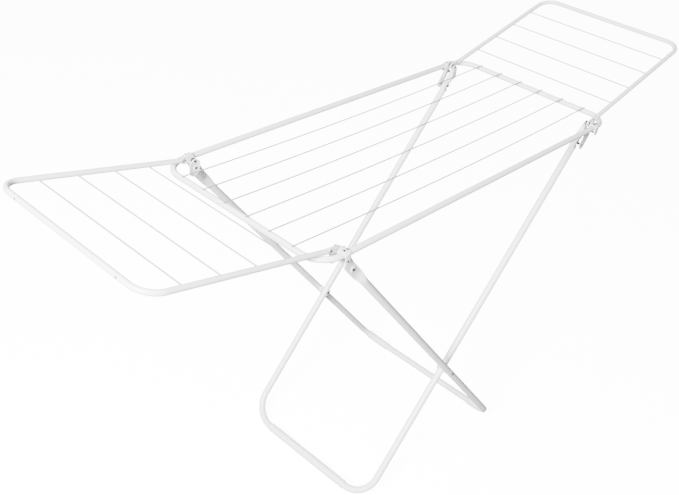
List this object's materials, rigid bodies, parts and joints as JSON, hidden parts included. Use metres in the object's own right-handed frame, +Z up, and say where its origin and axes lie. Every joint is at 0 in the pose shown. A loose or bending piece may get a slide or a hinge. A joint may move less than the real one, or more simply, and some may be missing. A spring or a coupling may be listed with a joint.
{
  "type": "clothes drying rack",
  "caption": "Folding winged clothes airer: a wired top frame on crossed U-shaped tube legs, with a hinged wing at each end, for drying laundry.",
  "frame": {"origin": "on the floor under the crossing of the legs, at the middle of the rack", "axes": "+X along the top frame towards the hook side, +Y across it, +Z up"},
  "size_m": [1.8388, 0.5048, 1.0221],
  "materials": {
    "white_coat": "satin powder coat",
    "white_wire": "satin powder coat",
    "white_plastic": "moulded satin",
    "steel": "zinc plated"
  },
  "bodies": {
    "frame": {"frame_tube_left": "white_coat", "frame_tube_right": "white_coat", "frame_wire_1": "white_wire", "frame_wire_2": "white_wire", "frame_wire_3": "white_wire", "frame_wire_4": "white_wire", "frame_wire_5": "white_wire", "frame_wire_6": "white_wire", "left_bracket_front": "white_coat", "left_cover_front": "white_coat", "left_wing_pin_front": "steel", "left_stud_front": "steel", "left_bracket_back": "white_coat", "left_cover_back": "white_coat", "left_wing_pin_back": "steel", "left_stud_back": "steel", "right_bracket_front": "white_coat", "right_cover_front": "white_coat", "right_wing_pin_front": "steel", "right_stud_front": "steel", "right_bracket_back": "white_coat", "right_cover_back": "white_coat", "right_wing_pin_back": "steel", "right_stud_back": "steel", "leg_pin_front": "steel", "leg_pin_back": "steel", "catch_pin_front": "steel", "catch_pin_back": "steel"},
    "left_wing": {"left_wing_tube": "white_coat", "left_wing_wire_1": "white_wire", "left_wing_wire_2": "white_wire", "left_wing_wire_3": "white_wire", "left_wing_wire_4": "white_wire"},
    "right_wing": {"right_wing_tube": "white_coat", "right_wing_wire_1": "white_wire", "right_wing_wire_2": "white_wire", "right_wing_wire_3": "white_wire", "right_wing_wire_4": "white_wire"},
    "outer_leg": {"outer_leg_tube": "white_coat", "outer_foot_front": "white_plastic", "outer_foot_back": "white_plastic", "crossing_rivet_front": "steel", "crossing_rivet_back": "steel", "crossing_washer_front": "white_plastic", "crossing_washer_back": "white_plastic"},
    "inner_leg": {"inner_leg_tube": "white_coat", "inner_foot_sleeve": "white_plastic", "inner_foot_collar_front": "white_plastic", "inner_foot_collar_back": "white_plastic", "inner_leg_hook_front": "white_plastic", "inner_leg_hook_back": "white_plastic", "crossing_cap_front": "white_plastic", "crossing_cap_back": "white_plastic"}
  },
  "joints": [
    {"name": "left_wing_hinge", "type": "hinge", "parent": "frame", "child": "left_wing", "pos_m": [-0.466, 0, 0.9034], "axis": [0, 1, 0], "range_deg": [0, 166.3]},
    {"name": "right_wing_hinge", "type": "hinge", "parent": "frame", "child": "right_wing", "pos_m": [0.466, 0, 0.9034], "axis": [0, -1, 0], "range_deg": [0, 164.2]},
    {"name": "outer_leg_hinge", "type": "hinge", "parent": "frame", "child": "outer_leg", "pos_m": [-0.43181, 0, 0.848], "axis": [0, -1, 0], "range_deg": [0, 48.7]},
    {"name": "leg_crossing", "type": "hinge", "parent": "outer_leg", "child": "inner_leg", "pos_m": [0.009, 0, 0.327], "axis": [0, -1, 0], "range_deg": [0, 76.5]}
  ],
  "couplings": [
    {"joint": "leg_crossing", "follows": "outer_leg_hinge", "ratio": 1.5667}
  ]
}
